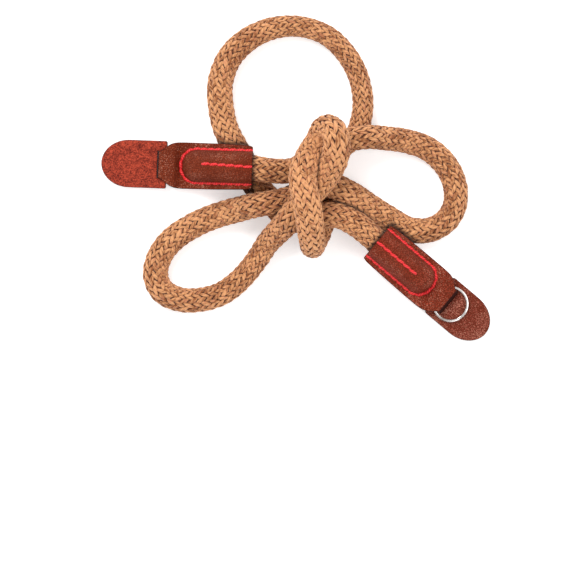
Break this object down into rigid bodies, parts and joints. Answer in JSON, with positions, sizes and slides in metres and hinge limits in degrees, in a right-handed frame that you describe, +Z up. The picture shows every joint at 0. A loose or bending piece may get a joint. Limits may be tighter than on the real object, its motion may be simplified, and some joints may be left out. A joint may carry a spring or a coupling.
{
  "type": "knotted rope camera strap",
  "caption": "Braided rope camera strap tied in a loose bow, with sewn leather ends, slotted leather ring guards and split rings, lying flat.",
  "frame": {"origin": "on the table under the middle of the strap's outline", "axes": "+Z up from the table, +X to the right and +Y to the top of the picture"},
  "size_m": [0.162, 0.1356, 0.0386],
  "materials": {
    "rope": "tan braided cotton-like rope, matt and slightly fuzzy",
    "leather": "reddish brown pebbled leather, satin",
    "guard_leather": "reddish brown fine grained leather, satin",
    "suede": "brick red suede, the flesh side of the leather",
    "nickel": "bright nickel plated steel wire",
    "thread": "bright red waxed thread"
  },
  "bodies": {
    "root": {"rope": "rope", "left_leather_end": "leather", "right_leather_end": "leather", "left_ring_guard": "suede", "right_ring_guard": "guard_leather", "left_split_ring": "nickel", "right_split_ring": "nickel"}
  },
  "joints": []
}
